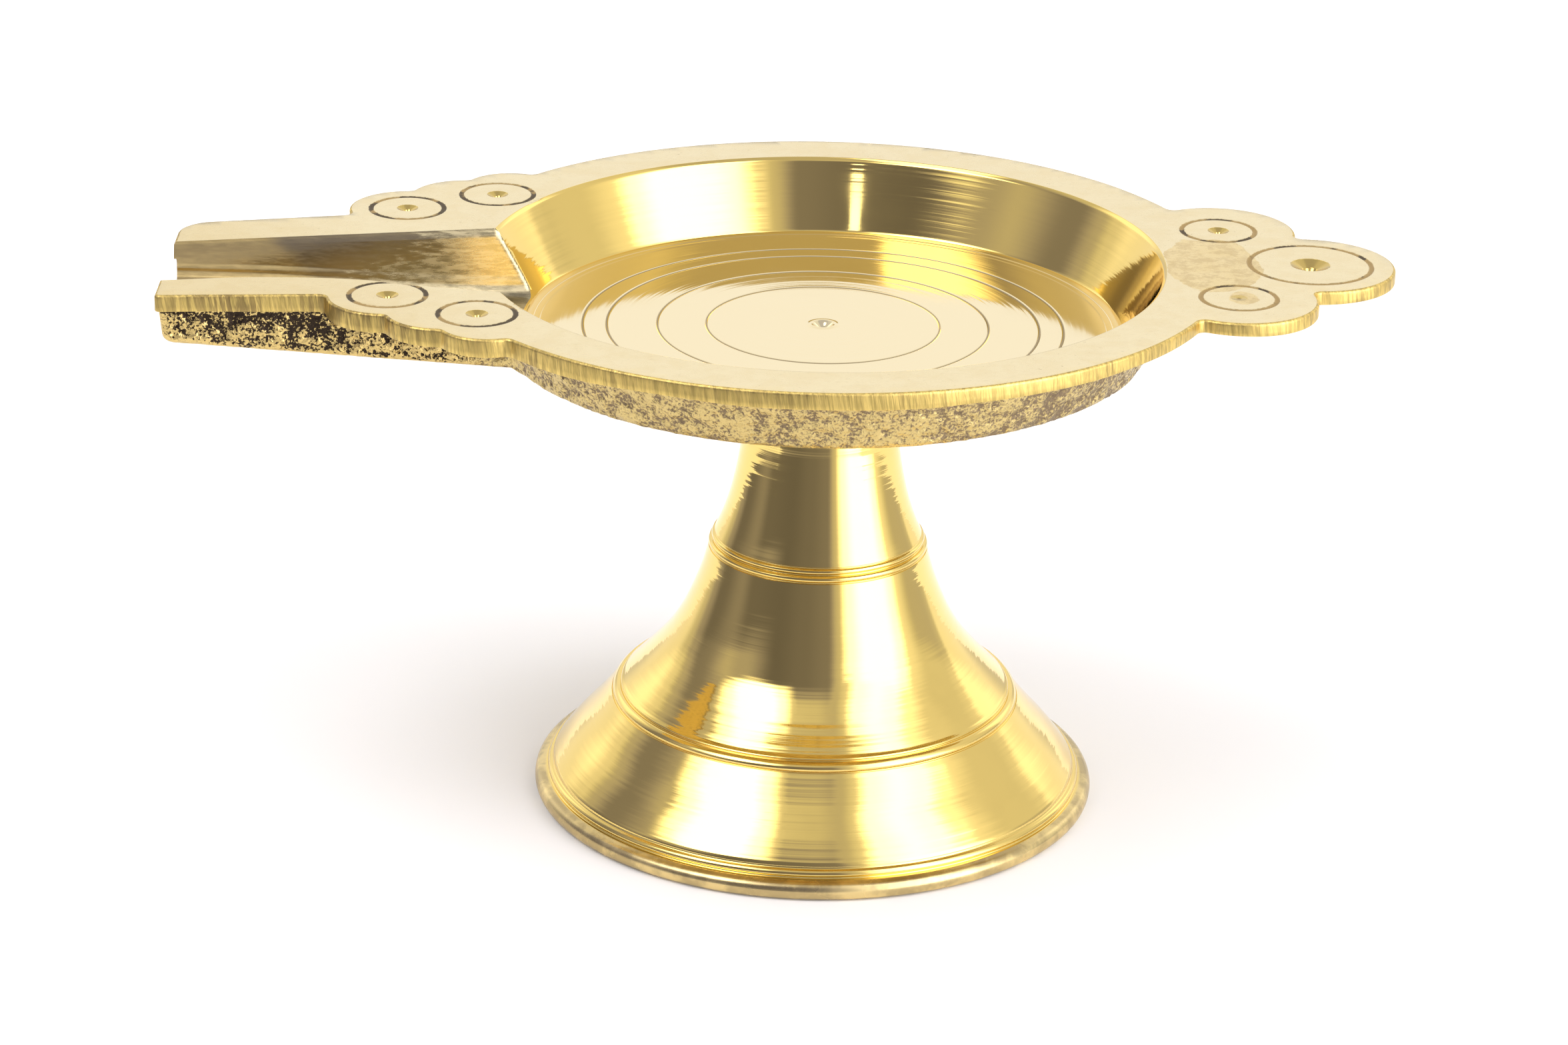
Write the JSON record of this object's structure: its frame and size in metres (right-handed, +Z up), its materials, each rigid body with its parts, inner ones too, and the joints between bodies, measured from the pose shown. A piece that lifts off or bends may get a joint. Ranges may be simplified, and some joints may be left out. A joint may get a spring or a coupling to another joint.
{
  "type": "diya oil lamp",
  "caption": "Brass prayer lamp: a shallow turned pan with an open pouring channel and a lobed grip, screwed to a hollow bell foot.",
  "frame": {"origin": "centre of the foot's base ring, on the surface the lamp stands on", "axes": "+Z up along the foot's turning axis; the channel points along -X and the lobed grip along +X; the flange lies parallel to XY"},
  "size_m": [0.1446, 0.0948, 0.0679],
  "materials": {
    "pan_brass": "yellow brass: ground satin top face, turned and polished bowl, rough sand-cast outer walls with dark patina",
    "foot_brass": "yellow brass, turned and polished, with fine turning marks; dull as-cast inside",
    "fastener_brass": "plain machined brass, slightly dull"
  },
  "bodies": {
    "root": {"pan": "pan_brass", "foot": "foot_brass", "pan_stud": "fastener_brass", "foot_washer": "fastener_brass", "foot_nut": "fastener_brass"}
  },
  "joints": []
}
